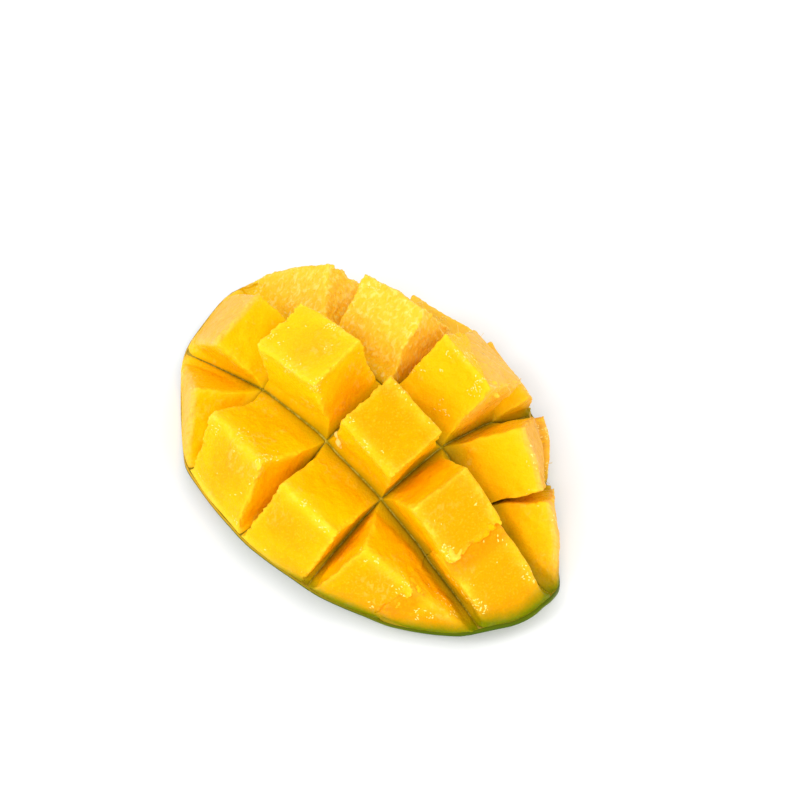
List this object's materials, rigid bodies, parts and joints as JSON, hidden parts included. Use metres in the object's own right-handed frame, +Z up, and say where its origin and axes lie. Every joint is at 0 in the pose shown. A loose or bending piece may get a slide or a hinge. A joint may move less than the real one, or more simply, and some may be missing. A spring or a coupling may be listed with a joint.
{
  "type": "scored mango half",
  "caption": "Fresh mango cheek scored lengthwise and crosswise down to its skin and turned inside out, so that the soft yellow chunks stand apart.",
  "frame": {"origin": "Middle of the footprint at floor level, where the rim of the skin rests.", "axes": "+Z up through the chunks, Y along the length of the cheek with +Y towards its wider end, X across it."},
  "size_m": [0.1014, 0.1396, 0.054],
  "materials": {
    "flesh": "wet ripe fruit flesh, yellow on the outer faces and orange in the cuts",
    "peel": "smooth waxy skin, olive green"
  },
  "bodies": {
    "root": {"mango_cheek": "flesh"}
  },
  "joints": []
}
